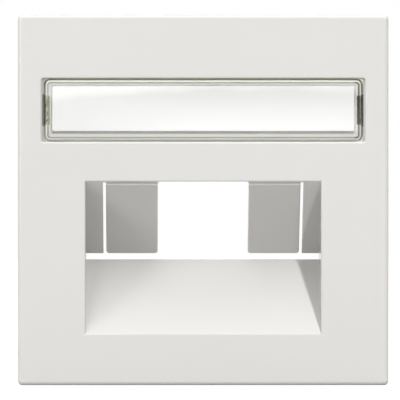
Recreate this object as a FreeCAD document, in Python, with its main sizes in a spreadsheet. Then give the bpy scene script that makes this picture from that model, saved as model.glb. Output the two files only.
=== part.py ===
"""Cover plate of a flush data outlet, with the clear window of its label field and the label card.

The plate stands upright. +Z is up, +X runs to the right as seen from the front, and the front face
looks along -Y. The origin is at the middle of the plate's outline, on the plane of its rear rim.
"""

import FreeCAD, Part
import os
import Sketcher

SIZES = (
    # the plate and its skirt
    ("plate_width", 55.0, "outside width of the plate"),
    ("plate_height", 55.0, "outside height of the plate"),
    ("plate_depth", 8.0, "front face to rear rim"),
    ("face_wall", 1.8, "thickness of the front face"),
    ("skirt_wall", 1.4, "thickness of the skirt at its rim"),
    ("skirt_draft", 1.0, "draft of the skirt's inside, in degrees"),
    ("corner_round", 0.65, "radius of the plate's four corners"),
    ("edge_round", 0.6, "radius of the front edge all round"),
    # the slanted recess that the plugs go into
    ("mouth_width", 34.94, "width of the recess"),
    ("mouth_height", 22.8, "height of the recess in the front face"),
    ("mouth_top", 2.86, "upper edge of the recess above the plate's middle"),
    ("slant", 45.0, "angle of roof and ramp to the front face, in degrees"),
    ("hood_wall", 1.2, "thickness of roof, ramp and cheeks"),
    ("gap_height", 0.93, "slot between the roof's end and the ramp's end"),
    ("gap_raise", 0.1, "the slot's middle above the recess's middle"),
    ("lip_round", 0.5, "radius of the ramp's upper end"),
    ("mouth_round", 0.28, "radius of the recess's front edges"),
    # the jack opening and the break-out tabs beside it
    ("jack_width", 13.5, "opening for one jack"),
    ("jack_lip", 0.12, "strip of roof left above the jack opening"),
    ("jack_round", 0.3, "radius of the jack opening's upper corners"),
    ("tab_width", 7.7, "width of each break-out tab"),
    ("slit_width", 0.43, "slit between a tab and the fixed strip beside it"),
    ("score_drop", 0.25, "top of the score notch below the recess's upper edge"),
    ("score_depth", 0.36, "how far back the score notch goes"),
    ("score_web", 0.6, "wall left between the front notch and the rear channel"),
    ("score_channel", 0.8, "height of the rear channel"),
    ("tab_round", 0.16, "radius of the tabs' front edges"),
    ("tab_corner", 0.45, "radius of the tabs' corners"),
    # the label field
    ("label_height", 13.33, "middle of the label field above the plate's middle"),
    ("field_width", 47.36, "width of the label pocket"),
    ("field_height", 9.4, "height of the label pocket"),
    ("field_round", 0.28, "radius of the label field's front edges"),
    ("ledge_width", 0.33, "ledge beyond each end of the pocket"),
    ("ledge_depth", 0.35, "front face to the ledges"),
    ("ledge_corner", 0.35, "radius of the ledges' outer corners"),
    ("seat_depth", 1.25, "front face to the seat under the window"),
    ("bed_depth", 0.3, "how far the card's bed is sunk into the seat"),
    ("bed_play", 0.18, "clearance beside and above the card in its bed"),
    ("bed_foot_play", 0.4, "clearance below the card in its bed"),
    ("channel_depth", 2.1, "front face to the floor of the channel round the seat"),
    ("tray_floor", 1.2, "thickness of the channel's floor"),
    ("tray_wall", 1.2, "thickness of the pocket's long walls behind the face"),
    # the window over it
    ("window_gap", 0.26, "clearance round the window in its pocket"),
    ("window_sink", 0.1, "window's front below the front face"),
    ("pane", 0.7, "thickness of the window's pane"),
    ("rim_wall", 0.32, "thickness of the window's rim wall and of its legs"),
    ("rim_play", 0.08, "clearance between the rim wall and the seat"),
    ("window_corner", 0.75, "radius of the window's corners"),
    ("window_round", 0.25, "radius of the window's front edges"),
    ("leg_width", 4.2, "width of each sprung leg of the window"),
    ("leg_length", 1.1, "legs beyond the foot of the rim wall"),
    ("leg_room", 0.3, "room behind each leg, so that it can bend in"),
    ("leg_play", 0.06, "clearance at each side of a leg in its socket"),
    ("leg_end_play", 0.2, "clearance between a leg's end and its socket's floor"),
    ("bead_drop", 0.35, "foot of the rim wall to the catch of a leg's bead"),
    ("bead_flat", 0.2, "height of a bead's flat"),
    ("bead_reach", 0.12, "how far a bead goes into its groove"),
    ("bead_play", 0.06, "clearance between a bead and its groove"),
    ("boss_wall", 0.9, "wall round each socket behind the channel's floor"),
    # the card
    ("card_end_margin", 0.6, "seat beyond each end of the card"),
    ("card_top_margin", 0.43, "seat above the card"),
    ("card_foot_margin", 0.97, "seat below the card"),
    ("card_thickness", 0.4, "thickness of the label card"),
    ("card_corner", 0.15, "radius of the card's corners"),
    # the sprung arms that clip on to the insert
    ("arm_spacing", 45.2, "distance over the outer faces of the two arms"),
    ("arm_width", 9.0, "width of each arm"),
    ("arm_root", 1.6, "thickness of an arm at its root"),
    ("arm_tip", 1.1, "thickness of an arm at its tip"),
    ("arm_reach", 6.5, "arm's tip behind the rear rim"),
    ("arm_hook", 0.9, "how far the arm's hook stands out"),
    ("arm_hook_length", 2.4, "length of the arm's hook"),
    ("gusset_wall", 1.0, "thickness of the gussets behind an arm"),
    ("gusset_foot", 1.7, "length of a gusset along the face"),
    ("gusset_rise", 4.2, "length of a gusset along the arm"),
    ("gusset_spacing", 5.6, "distance between an arm's two gussets"),
    # the ribs inside the skirt
    ("rib_wall", 1.0, "thickness of the ribs"),
    ("rib_rise", 2.4, "height of the ribs above the face's rear"),
    ("side_rib_spacing", 7.0, "distance between the side ribs"),
    ("side_rib_drop", 10.5, "first side rib below the plate's middle"),
    ("top_rib_spacing", 15.0, "distance between the ribs above the label field"),
    ("foot_rib_spacing", 12.0, "distance between the ribs below the recess"),
)

# places that several features share, as expressions on the sheet
HALF_WIDTH = "sizes.plate_width / 2"
HALF_HEIGHT = "sizes.plate_height / 2"
FRONT = "-sizes.plate_depth"
FACE_REAR = "(sizes.face_wall - sizes.plate_depth)"
INNER_WIDTH = "(sizes.plate_width - 2 * sizes.skirt_wall)"
INNER_HEIGHT = "(sizes.plate_height - 2 * sizes.skirt_wall)"
HALF_MOUTH = "sizes.mouth_width / 2"
MOUTH_BOTTOM = "(sizes.mouth_top - sizes.mouth_height)"
MOUTH_MIDDLE = "(sizes.mouth_top - sizes.mouth_height / 2)"
GAP_MIDDLE = f"({MOUTH_MIDDLE} + sizes.gap_raise)"
GAP_TOP = f"({GAP_MIDDLE} + sizes.gap_height / 2)"
APEX = "(sizes.mouth_height / 2 * tan(sizes.slant))"
WALL_UP = "(sizes.hood_wall / sin(sizes.slant))"
TAB_INNER = "sizes.jack_width / 2"
TAB_OUTER = "(sizes.jack_width / 2 + sizes.tab_width)"
SLIT_OUTER = "(sizes.jack_width / 2 + sizes.tab_width + sizes.slit_width)"
SCORE_TOP = "(sizes.mouth_top - sizes.score_drop)"
SCORE_REAR = f"({FRONT} + sizes.score_drop * tan(sizes.slant) + sizes.score_depth)"
SCORE_BOTTOM = "(sizes.mouth_top - sizes.score_drop - sizes.score_depth / tan(sizes.slant))"
TRAY_REAR = "(sizes.channel_depth + sizes.tray_floor)"
WINDOW_WIDTH = "(sizes.field_width - 2 * sizes.window_gap)"
WINDOW_HEIGHT = "(sizes.field_height - 2 * sizes.window_gap)"
RIM_INNER_WIDTH = f"({WINDOW_WIDTH} - 2 * sizes.rim_wall)"
RIM_INNER_HEIGHT = f"({WINDOW_HEIGHT} - 2 * sizes.rim_wall)"
SEAT_WIDTH = f"({RIM_INNER_WIDTH} - 2 * sizes.rim_play)"
SEAT_HEIGHT = f"({RIM_INNER_HEIGHT} - 2 * sizes.rim_play)"
CARD_END = f"({SEAT_WIDTH} / 2 - sizes.card_end_margin)"
CARD_TOP = f"(sizes.label_height + {SEAT_HEIGHT} / 2 - sizes.card_top_margin)"
CARD_FOOT = f"(sizes.label_height - {SEAT_HEIGHT} / 2 + sizes.card_foot_margin)"
BED_DEPTH = "(sizes.seat_depth + sizes.bed_depth)"
HALF_FIELD = "(sizes.field_width / 2)"
LEG_OUTER = f"({WINDOW_WIDTH} / 2)"
LEG_INNER = f"({LEG_OUTER} - sizes.rim_wall)"
LEG_END = "(sizes.channel_depth + sizes.leg_length)"
BEAD_CATCH = f"({FRONT} + sizes.channel_depth + sizes.bead_drop)"
BEAD_TIP = f"({HALF_FIELD} + sizes.bead_reach)"
SOCKET_INNER = f"({LEG_INNER} - sizes.leg_room)"
SOCKET_HEIGHT = "(sizes.leg_width + 2 * sizes.leg_play)"
SOCKET_DEPTH = f"({LEG_END} + sizes.leg_end_play)"
BOSS_REAR = f"({SOCKET_DEPTH} + sizes.boss_wall)"
ARM_OUTER = "sizes.arm_spacing / 2"

NEAR = 1e-4


def make_sheet(doc):
    """The spreadsheet of driving sizes: names in column A, values in B, meanings in C."""
    sheet = doc.addObject("Spreadsheet::Sheet", "sizes")
    for row, (name, value, meaning) in enumerate(SIZES, start=1):
        sheet.set(f"A{row}", name)
        sheet.set(f"B{row}", str(value))
        sheet.set(f"C{row}", meaning)
        sheet.setAlias(f"B{row}", name)
    doc.recompute()
    return sheet


def value_of(sheet, expression):
    """The number that an expression on the sheet gives."""
    result = sheet.evalExpression(expression)
    return float(getattr(result, "Value", result))


class BodyMaker:
    """Adds sketches and features to one PartDesign body, all of them bound to the sheet."""

    def __init__(self, doc, sheet, name):
        self.doc = doc
        self.sheet = sheet
        self.body = doc.addObject("PartDesign::Body", name)
        self.body.Label = name

    def number(self, expression):
        return value_of(self.sheet, expression)

    def volume(self):
        return self.body.Tip.Shape.Volume

    def origin_plane(self, role):
        return next(item for item in self.body.Origin.OriginFeatures if item.Role == role)

    def sketch(self, name, plane, offset=None):
        """An empty sketch on an origin plane, moved along the plane's normal by offset."""
        sketch = self.body.newObject("Sketcher::SketchObject", name)
        sketch.AttachmentSupport = [(self.origin_plane(plane), "")]
        sketch.MapMode = "FlatFace"
        if offset:
            sketch.setExpression("AttachmentOffset.Base.z", offset)
        return sketch

    def hold(self, sketch, direction, line, point, expression):
        """Ties one end of a line to the sketch's origin, across or up, by an expression."""
        start = self.number(expression)
        index = sketch.addConstraint(Sketcher.Constraint(direction, -1, 1, line, point, start))
        sketch.setExpression(f"Constraints[{index}]", expression)

    def lines(self, sketch, corners):
        """A closed chain of lines through the corners. Returns the first line's number."""
        first = sketch.GeometryCount
        ends = corners[1:] + corners[:1]
        for start, end in zip(corners, ends):
            sketch.addGeometry(Part.LineSegment(FreeCAD.Vector(*start), FreeCAD.Vector(*end)))
        count = len(corners)
        for step in range(count):
            after = first + (step + 1) % count
            sketch.addConstraint(Sketcher.Constraint("Coincident", first + step, 2, after, 1))
        return first

    def rectangle(self, sketch, left, right, bottom, top):
        """A rectangle whose four sides each follow an expression."""
        x0, x1, y0, y1 = (self.number(side) for side in (left, right, bottom, top))
        low = self.lines(sketch, [(x0, y0), (x1, y0), (x1, y1), (x0, y1)])
        for side, way in enumerate(("Horizontal", "Vertical", "Horizontal", "Vertical")):
            sketch.addConstraint(Sketcher.Constraint(way, low + side))
        self.hold(sketch, "DistanceX", low, 1, left)
        self.hold(sketch, "DistanceX", low, 2, right)
        self.hold(sketch, "DistanceY", low, 1, bottom)
        self.hold(sketch, "DistanceY", low + 2, 1, top)

    def centred_rectangle(self, sketch, width, height, middle="0"):
        """A rectangle as wide to the left as to the right, with its middle at a given height."""
        self.rectangle(
            sketch,
            f"-({width}) / 2",
            f"({width}) / 2",
            f"{middle} - ({height}) / 2",
            f"{middle} + ({height}) / 2",
        )

    def outline(self, sketch, corners):
        """A closed outline of straight lines whose corners each follow two expressions."""
        places = [(self.number(across), self.number(up)) for across, up in corners]
        first = self.lines(sketch, places)
        for step, (across, up) in enumerate(corners):
            self.hold(sketch, "DistanceX", first + step, 1, across)
            self.hold(sketch, "DistanceY", first + step, 1, up)

    def pad(self, name, sketch, length, both_ways=False):
        """Adds material along the sketch's normal, or half of it each way."""
        pad = self.body.newObject("PartDesign::Pad", name)
        pad.Profile = sketch
        pad.SideType = "Symmetric" if both_ways else "One side"
        pad.setExpression("Length", length)
        self.doc.recompute()
        return pad

    def pocket(self, name, sketch, length=None, both_ways=False, towards_normal=False, draft=None):
        """Takes material away against the sketch's normal, and checks that it took some."""
        before = self.volume()
        pocket = self.body.newObject("PartDesign::Pocket", name)
        pocket.Profile = sketch
        pocket.SideType = "Symmetric" if both_ways else "One side"
        pocket.Reversed = towards_normal
        if length:
            pocket.setExpression("Length", length)
        else:
            pocket.Type = "ThroughAll"
        if draft:
            pocket.setExpression("TaperAngle", draft)
        self.doc.recompute()
        if not self.volume() < before - NEAR:
            raise RuntimeError(f"{name} takes nothing away")
        return pocket

    def mirror(self, name, features):
        """Copies features to the other side of the plate's upright middle plane."""
        mirror = self.body.newObject("PartDesign::Mirrored", name)
        mirror.Originals = features
        mirror.MirrorPlane = (self.origin_plane("YZ_Plane"), [""])
        self.body.Tip = mirror
        self.doc.recompute()
        return mirror

    def row(self, name, features, axis, spacing, count):
        """Repeats features along an origin axis at a spacing."""
        row = self.body.newObject("PartDesign::LinearPattern", name)
        row.Originals = features
        row.Direction = (self.origin_plane(axis), [""])
        row.Mode = "Spacing"
        row.Occurrences = count
        row.setExpression("Offset", spacing)
        self.body.Tip = row
        self.doc.recompute()
        return row

    def round_edges(self, name, radius, wanted):
        """Fillets the edges of the body that wanted picks out."""
        base = self.body.Tip
        names = [f"Edge{n}" for n, edge in enumerate(base.Shape.Edges, start=1) if wanted(edge)]
        if not names:
            raise RuntimeError(f"{name} finds no edge")
        fillet = self.body.newObject("PartDesign::Fillet", name)
        fillet.Base = (base, names)
        fillet.setExpression("Radius", radius)
        self.doc.recompute()
        return fillet


def same(one, other):
    return abs(one - other) < NEAR


def at_depth(edge, depth):
    """True if the whole edge lies at one place along Y."""
    box = edge.BoundBox
    return same(box.YMin, depth) and same(box.YMax, depth)


def along_depth(edge):
    """True if the edge runs along Y only."""
    box = edge.BoundBox
    return box.XLength < NEAR and box.ZLength < NEAR


def within(edge, half_width, low, high):
    """True if the edge lies between two heights, and no further out than half_width."""
    box = edge.BoundBox
    side = half_width + NEAR
    return box.XMin > -side and box.XMax < side and box.ZMin > low - NEAR and box.ZMax < high + NEAR


def add_plate(maker):
    """The square block with rounded corners and front edge, hollowed from behind."""
    outline = maker.sketch("plate_outline", "XZ_Plane")
    maker.centred_rectangle(outline, "sizes.plate_width", "sizes.plate_height")
    maker.pad("plate_block", outline, "sizes.plate_depth")
    maker.round_edges("plate_corners", "sizes.corner_round", along_depth)
    front = maker.number(FRONT)
    maker.round_edges("plate_edge", "sizes.edge_round", lambda edge: at_depth(edge, front))

    hollow = maker.sketch("hollow_outline", "XZ_Plane")
    maker.centred_rectangle(hollow, INNER_WIDTH, INNER_HEIGHT)
    depth = "sizes.plate_depth - sizes.face_wall"
    maker.pocket("hollow", hollow, depth, towards_normal=True, draft="-sizes.skirt_draft")


def add_tray(maker):
    """The block that the label pocket is cut into, and the bosses behind it for the legs' sockets.

    All of them run into the skirt.
    """
    outline = maker.sketch("tray_outline", "XZ_Plane", f"sizes.plate_depth - {TRAY_REAR}")
    width = "sizes.plate_width - sizes.skirt_wall"
    height = "sizes.field_height + 2 * sizes.tray_wall"
    maker.centred_rectangle(outline, width, height, "sizes.label_height")
    maker.pad("tray_block", outline, f"{TRAY_REAR} - sizes.face_wall / 2")

    boss = maker.sketch("boss_outline", "XZ_Plane", f"sizes.plate_depth - {BOSS_REAR}")
    inner = f"{SOCKET_INNER} - sizes.boss_wall"
    outer = f"{HALF_WIDTH} - sizes.skirt_wall / 2"
    reach = f"({SOCKET_HEIGHT} / 2 + sizes.boss_wall)"
    low, high = f"sizes.label_height - {reach}", f"sizes.label_height + {reach}"
    maker.rectangle(boss, inner, outer, low, high)
    rise = f"{BOSS_REAR} - {TRAY_REAR} + sizes.tray_floor / 2"
    maker.mirror("bosses", [maker.pad("boss", boss, rise)])


def add_hood(maker):
    """The wedge-shaped hood behind the face that the recess is cut into."""
    half_face = f"({FRONT} + sizes.face_wall / 2)"
    rear = f"({FRONT} + {APEX} + sizes.hood_wall)"
    roof_at = f"sizes.mouth_top + {WALL_UP} - (%s + sizes.plate_depth) / tan(sizes.slant)"
    ramp_at = f"{MOUTH_BOTTOM} - {WALL_UP} + (%s + sizes.plate_depth) / tan(sizes.slant)"
    profile = maker.sketch("hood_profile", "YZ_Plane")
    corners = [
        (half_face, ramp_at % half_face),
        (rear, ramp_at % rear),
        (rear, roof_at % rear),
        (half_face, roof_at % half_face),
    ]
    maker.outline(profile, corners)
    maker.pad("hood_block", profile, "sizes.mouth_width + 2 * sizes.hood_wall", both_ways=True)


def add_ribs(maker):
    """Ribs that tie the skirt to the hood and to the tray, all on the face's rear."""
    root = "sizes.plate_depth - sizes.face_wall - sizes.rib_rise"
    rise = "sizes.rib_rise + sizes.face_wall / 2"
    half_rib = "sizes.rib_wall / 2"
    skirt_side = f"({HALF_WIDTH} - sizes.skirt_wall / 2)"
    skirt_top = f"({HALF_HEIGHT} - sizes.skirt_wall / 2)"

    side = maker.sketch("side_rib_outline", "XZ_Plane", root)
    for height in ("-sizes.side_rib_drop", "-sizes.side_rib_drop - sizes.side_rib_spacing"):
        low, high = f"{height} - {half_rib}", f"{height} + {half_rib}"
        maker.rectangle(side, f"{HALF_MOUTH} + sizes.hood_wall / 2", skirt_side, low, high)
    maker.mirror("side_ribs", [maker.pad("side_rib", side, rise)])

    tray_top = "sizes.label_height + sizes.field_height / 2 + sizes.tray_wall / 2"
    hood_foot = f"{MOUTH_BOTTOM} + sizes.hood_wall"
    rows = (("top", tray_top, skirt_top), ("foot", f"-{skirt_top}", hood_foot))
    for name, low, high in rows:
        spacing = f"sizes.{name}_rib_spacing"
        rib = maker.sketch(f"{name}_rib_outline", "XZ_Plane", root)
        maker.rectangle(rib, f"-{spacing} - {half_rib}", f"-{spacing} + {half_rib}", low, high)
        maker.row(f"{name}_ribs", [maker.pad(f"{name}_rib", rib, rise)], "X_Axis", spacing, 3)


def add_arms(maker):
    """A sprung arm at each side that hooks on to the insert, with two gussets behind each."""
    root = f"({FACE_REAR} - sizes.face_wall / 2)"
    tip = "sizes.arm_reach"
    catch = "(sizes.arm_reach - sizes.arm_hook_length)"
    profile = maker.sketch("arm_profile", "XY_Plane")
    corners = [
        (f"{ARM_OUTER} - sizes.arm_root", root),
        (ARM_OUTER, root),
        (ARM_OUTER, catch),
        (f"{ARM_OUTER} + sizes.arm_hook", catch),
        (f"{ARM_OUTER} + sizes.arm_hook", f"{catch} + sizes.arm_hook / 2"),
        (f"{ARM_OUTER} - sizes.arm_hook / 3", tip),
        (f"{ARM_OUTER} - sizes.arm_tip", tip),
    ]
    maker.outline(profile, corners)
    arm = maker.pad("arm", profile, "sizes.arm_width", both_ways=True)

    gussets = []
    inner = f"({ARM_OUTER} - sizes.arm_root / 2)"
    half_spacing = "sizes.gusset_spacing / 2"
    for name, place in (("upper_gusset", half_spacing), ("lower_gusset", f"-{half_spacing}")):
        sketch = maker.sketch(f"{name}_profile", "XY_Plane", place)
        corners = [
            (inner, root),
            (inner, f"{FACE_REAR} + sizes.gusset_rise"),
            (f"{inner} - sizes.arm_root / 2", f"{FACE_REAR} + sizes.gusset_rise"),
            (f"{inner} - sizes.arm_root / 2 - sizes.gusset_foot", FACE_REAR),
            (f"{inner} - sizes.arm_root / 2 - sizes.gusset_foot", root),
        ]
        maker.outline(sketch, corners)
        gussets.append(maker.pad(name, sketch, "sizes.gusset_wall", both_ways=True))
    maker.mirror("arms", [arm] + gussets)


def cut_recess(maker):
    """The wedge-shaped recess, and the slot where its roof and ramp would meet."""
    profile = maker.sketch("recess_profile", "YZ_Plane")
    corners = [
        (FRONT, MOUTH_BOTTOM),
        (f"{FRONT} + {APEX}", MOUTH_MIDDLE),
        (FRONT, "sizes.mouth_top"),
    ]
    maker.outline(profile, corners)
    maker.pocket("recess", profile, "sizes.mouth_width", both_ways=True)

    slot = maker.sketch("gap_outline", "XZ_Plane", "sizes.plate_depth")
    maker.centred_rectangle(slot, "sizes.mouth_width", "sizes.gap_height", GAP_MIDDLE)
    maker.pocket("gap", slot)


def cut_jack_opening(maker):
    """The opening for one jack, the slits beside the tabs and the score along the tabs' roots."""
    opening = maker.sketch("jack_outline", "XZ_Plane", "sizes.plate_depth")
    jack_top = "(sizes.mouth_top - sizes.jack_lip)"
    maker.rectangle(opening, f"-{TAB_INNER}", TAB_INNER, GAP_MIDDLE, jack_top)
    maker.pocket("jack_opening", opening)

    slits = maker.sketch("slit_outline", "XZ_Plane", "sizes.plate_depth")
    maker.rectangle(slits, TAB_OUTER, SLIT_OUTER, GAP_MIDDLE, SCORE_TOP)
    maker.rectangle(slits, f"-{SLIT_OUTER}", f"-{TAB_OUTER}", GAP_MIDDLE, SCORE_TOP)
    maker.pocket("slits", slits)

    across = f"2 * {TAB_OUTER} + sizes.slit_width"
    notch = maker.sketch("score_profile", "YZ_Plane")
    before = f"({SCORE_REAR} - 2 * sizes.score_depth)"
    corners = [
        (before, SCORE_TOP),
        (before, SCORE_BOTTOM),
        (SCORE_REAR, SCORE_BOTTOM),
        (SCORE_REAR, SCORE_TOP),
    ]
    maker.outline(notch, corners)
    maker.pocket("score", notch, across, both_ways=True)

    channel = maker.sketch("channel_profile", "YZ_Plane")
    web_rear = f"({SCORE_REAR} + sizes.score_web)"
    maker.rectangle(
        channel,
        web_rear,
        f"{web_rear} + 2 * sizes.hood_wall",
        SCORE_BOTTOM,
        f"{SCORE_BOTTOM} + sizes.score_channel",
    )
    maker.pocket("score_channel", channel, across, both_ways=True)


def round_recess(maker):
    """Rounds the recess's front edges, the jack opening's corners and the tabs."""
    front = maker.number(FRONT)
    half_mouth = maker.number(HALF_MOUTH)
    top, bottom = maker.number("sizes.mouth_top"), maker.number(MOUTH_BOTTOM)
    gap_top, score_bottom = maker.number(GAP_TOP), maker.number(SCORE_BOTTOM)
    jack_top = maker.number("sizes.mouth_top - sizes.jack_lip")
    inner, outer = maker.number(TAB_INNER), maker.number(TAB_OUTER)
    web_front = maker.number(SCORE_REAR)
    gap_bottom = maker.number(f"{GAP_MIDDLE} - sizes.gap_height / 2")
    ramp_end = front + (gap_bottom - bottom) * maker.number("tan(sizes.slant)")
    slope = maker.number("tan(sizes.slant)")

    def on_roof(edge):
        return all(same(v.Y - front, (top - v.Z) * slope) for v in edge.Vertexes)

    def tab_corner(edge):
        box = edge.BoundBox
        side = any(same(abs(box.XMin), place) for place in (inner, outer))
        free = same(box.ZMin, gap_top)
        scored = same(box.ZMin, score_bottom) and box.YMax < web_front + NEAR
        return along_depth(edge) and side and (free or scored)

    def tab_edge(edge):
        box = edge.BoundBox
        beside = inner - NEAR < min(abs(box.XMin), abs(box.XMax))
        beside = beside and max(abs(box.XMin), abs(box.XMax)) < outer + NEAR
        level = box.ZMin > gap_top - NEAR and box.ZMax < score_bottom + NEAR
        return on_roof(edge) and beside and level

    def ramp_lip(edge):
        box = edge.BoundBox
        level = same(box.ZMin, gap_bottom) and same(box.ZMax, gap_bottom)
        return level and same(box.YMin, ramp_end) and same(box.YMax, ramp_end)

    maker.round_edges(
        "jack_corners",
        "sizes.jack_round",
        lambda edge: along_depth(edge)
        and same(abs(edge.BoundBox.XMin), inner)
        and same(edge.BoundBox.ZMin, jack_top),
    )
    maker.round_edges("tab_corners", "sizes.tab_corner", tab_corner)
    maker.round_edges("tab_edges", "sizes.tab_round", tab_edge)
    maker.round_edges("ramp_lip", "sizes.lip_round", ramp_lip)
    maker.round_edges(
        "mouth_edges",
        "sizes.mouth_round",
        lambda edge: at_depth(edge, front) and within(edge, half_mouth, bottom, top),
    )


def cut_label_field(maker):
    """The label pocket: a seat with the card's bed, a channel for the window's rim, end ledges."""
    middle = "sizes.label_height"
    field = maker.sketch("field_outline", "XZ_Plane", "sizes.plate_depth")
    maker.centred_rectangle(field, "sizes.field_width", "sizes.field_height", middle)
    maker.pocket("field", field, "sizes.seat_depth")

    channel = maker.sketch("rim_channel_outline", "XZ_Plane", "sizes.plate_depth")
    maker.centred_rectangle(channel, "sizes.field_width", "sizes.field_height", middle)
    maker.centred_rectangle(channel, SEAT_WIDTH, SEAT_HEIGHT, middle)
    maker.pocket("rim_channel", channel, "sizes.channel_depth")

    def corners_of(width, height):
        """Picks the edges along Y at the four corners of a rectangle round the field's middle."""
        half = maker.number(f"{width} / 2")
        low = maker.number(f"{middle} - {height} / 2")
        high = maker.number(f"{middle} + {height} / 2")

        def wanted(edge):
            box = edge.BoundBox
            level = same(box.ZMin, low) or same(box.ZMin, high)
            return along_depth(edge) and level and same(abs(box.XMin), half)

        return wanted

    field_corners = corners_of("sizes.field_width", "sizes.field_height")
    maker.round_edges("field_corners", "sizes.window_corner + sizes.window_gap", field_corners)
    seat_round = "sizes.window_corner - sizes.rim_wall - sizes.rim_play"
    maker.round_edges("seat_corners", seat_round, corners_of(SEAT_WIDTH, SEAT_HEIGHT))

    bed = maker.sketch("bed_outline", "XZ_Plane", "sizes.plate_depth")
    end = f"({CARD_END} + sizes.bed_play)"
    foot, head = f"{CARD_FOOT} - sizes.bed_foot_play", f"{CARD_TOP} + sizes.bed_play"
    maker.rectangle(bed, f"-{end}", end, foot, head)
    maker.pocket("card_bed", bed, BED_DEPTH)

    ledge = maker.sketch("ledge_outline", "XZ_Plane", "sizes.plate_depth")
    full_width = "(sizes.field_width + 2 * sizes.ledge_width)"
    maker.centred_rectangle(ledge, full_width, "sizes.field_height", middle)
    maker.pocket("ledges", ledge, "sizes.ledge_depth")
    cut_sockets(maker, middle)

    ledge_corners = corners_of(full_width, "sizes.field_height")
    maker.round_edges("ledge_corners", "sizes.ledge_corner", ledge_corners)
    front = maker.number(FRONT)
    half_width = maker.number(f"{full_width} / 2")
    low_wall = maker.number(f"{middle} - sizes.field_height / 2")
    high_wall = maker.number(f"{middle} + sizes.field_height / 2")
    maker.round_edges(
        "field_edges",
        "sizes.field_round",
        lambda edge: at_depth(edge, front) and within(edge, half_width, low_wall, high_wall),
    )


def cut_sockets(maker, middle):
    """A blind socket for each leg at the pocket's end wall, with a groove for the leg's bead."""
    sockets = maker.sketch("socket_outline", "XZ_Plane", "sizes.plate_depth")
    low, high = f"{middle} - {SOCKET_HEIGHT} / 2", f"{middle} + {SOCKET_HEIGHT} / 2"
    maker.rectangle(sockets, SOCKET_INNER, HALF_FIELD, low, high)
    maker.rectangle(sockets, f"-{HALF_FIELD}", f"-{SOCKET_INNER}", low, high)
    maker.pocket("sockets", sockets, SOCKET_DEPTH)

    grooves = maker.sketch("groove_profile", "XY_Plane", middle)
    near, far = f"({HALF_FIELD} - sizes.window_gap)", f"({BEAD_TIP} + sizes.bead_play)"
    front = f"{BEAD_CATCH} - sizes.bead_play"
    rear = f"{FRONT} + {LEG_END} - sizes.bead_play"
    maker.rectangle(grooves, near, far, front, rear)
    maker.rectangle(grooves, f"-{far}", f"-{near}", front, rear)
    maker.pocket("grooves", grooves, SOCKET_HEIGHT, both_ways=True)


def build_faceplate(doc, sheet):
    """The moulded plate, with everything that is one piece with it."""
    maker = BodyMaker(doc, sheet, "faceplate")
    add_plate(maker)
    add_tray(maker)
    add_hood(maker)
    add_ribs(maker)
    add_arms(maker)
    cut_recess(maker)
    cut_jack_opening(maker)
    round_recess(maker)
    cut_label_field(maker)
    return maker.body


def build_window(doc, sheet):
    """The clear window: a pane with a rim wall round it and a sprung leg at each end."""
    maker = BodyMaker(doc, sheet, "label_window")
    middle = "sizes.label_height"
    rim_rear = "sizes.plate_depth - sizes.channel_depth"
    outline = maker.sketch("window_outline", "XZ_Plane", rim_rear)
    maker.centred_rectangle(outline, WINDOW_WIDTH, WINDOW_HEIGHT, middle)
    maker.pad("window_block", outline, "sizes.channel_depth - sizes.window_sink")
    maker.round_edges("window_corners", "sizes.window_corner", along_depth)
    front = maker.number(f"{FRONT} + sizes.window_sink")
    maker.round_edges("window_edge", "sizes.window_round", lambda edge: at_depth(edge, front))

    inside = maker.sketch("window_inside", "XZ_Plane", rim_rear)
    maker.centred_rectangle(inside, RIM_INNER_WIDTH, RIM_INNER_HEIGHT, middle)
    depth = "sizes.channel_depth - sizes.window_sink - sizes.pane"
    maker.pocket("window_hollow", inside, depth, towards_normal=True)
    half_inside = maker.number(f"{RIM_INNER_WIDTH} / 2")
    maker.round_edges(
        "hollow_corners",
        "sizes.window_corner - sizes.rim_wall",
        lambda edge: along_depth(edge) and same(abs(edge.BoundBox.XMin), half_inside),
    )

    root = f"({FRONT} + sizes.window_sink + sizes.pane / 2)"
    end = f"({FRONT} + {LEG_END})"
    profile = maker.sketch("leg_profile", "XY_Plane", middle)
    corners = [
        (LEG_INNER, root),
        (LEG_OUTER, root),
        (LEG_OUTER, BEAD_CATCH),
        (BEAD_TIP, BEAD_CATCH),
        (BEAD_TIP, f"({BEAD_CATCH} + sizes.bead_flat)"),
        (LEG_OUTER, end),
        (LEG_INNER, end),
    ]
    maker.outline(profile, corners)
    maker.mirror("legs", [maker.pad("leg", profile, "sizes.leg_width", both_ways=True)])
    return maker.body


def build_card(doc, sheet):
    """The blank card that lies in its bed under the window."""
    maker = BodyMaker(doc, sheet, "label_card")
    outline = maker.sketch("card_outline", "XZ_Plane", f"sizes.plate_depth - {BED_DEPTH}")
    maker.rectangle(outline, f"-{CARD_END}", CARD_END, CARD_FOOT, CARD_TOP)
    maker.pad("card", outline, "sizes.card_thickness")
    maker.round_edges("card_corners", "sizes.card_corner", along_depth)
    return maker.body


def check(doc, bodies):
    """Stops if any object failed to compute or a body isn't one valid solid."""
    for item in doc.Objects:
        if "Invalid" in item.State or "Error" in item.State:
            raise RuntimeError(f"{item.Name} failed: {item.State}")
    for body in bodies:
        if body.Shape.isNull() or not body.Shape.isValid() or len(body.Shape.Solids) != 1:
            raise RuntimeError(f"{body.Label} is not one valid solid")


def main():
    doc = FreeCAD.newDocument("cover_plate")
    sheet = make_sheet(doc)
    bodies = [build(doc, sheet) for build in (build_faceplate, build_window, build_card)]
    doc.recompute()
    check(doc, bodies)
    os.makedirs("parts", exist_ok=True)
    for body in bodies:
        body.Shape.exportStep(f"parts/{body.Label}.step")
        print(f"{body.Label}: {body.Shape.Volume:.1f} mm3, {len(body.Shape.Faces)} faces")


main()
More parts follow.
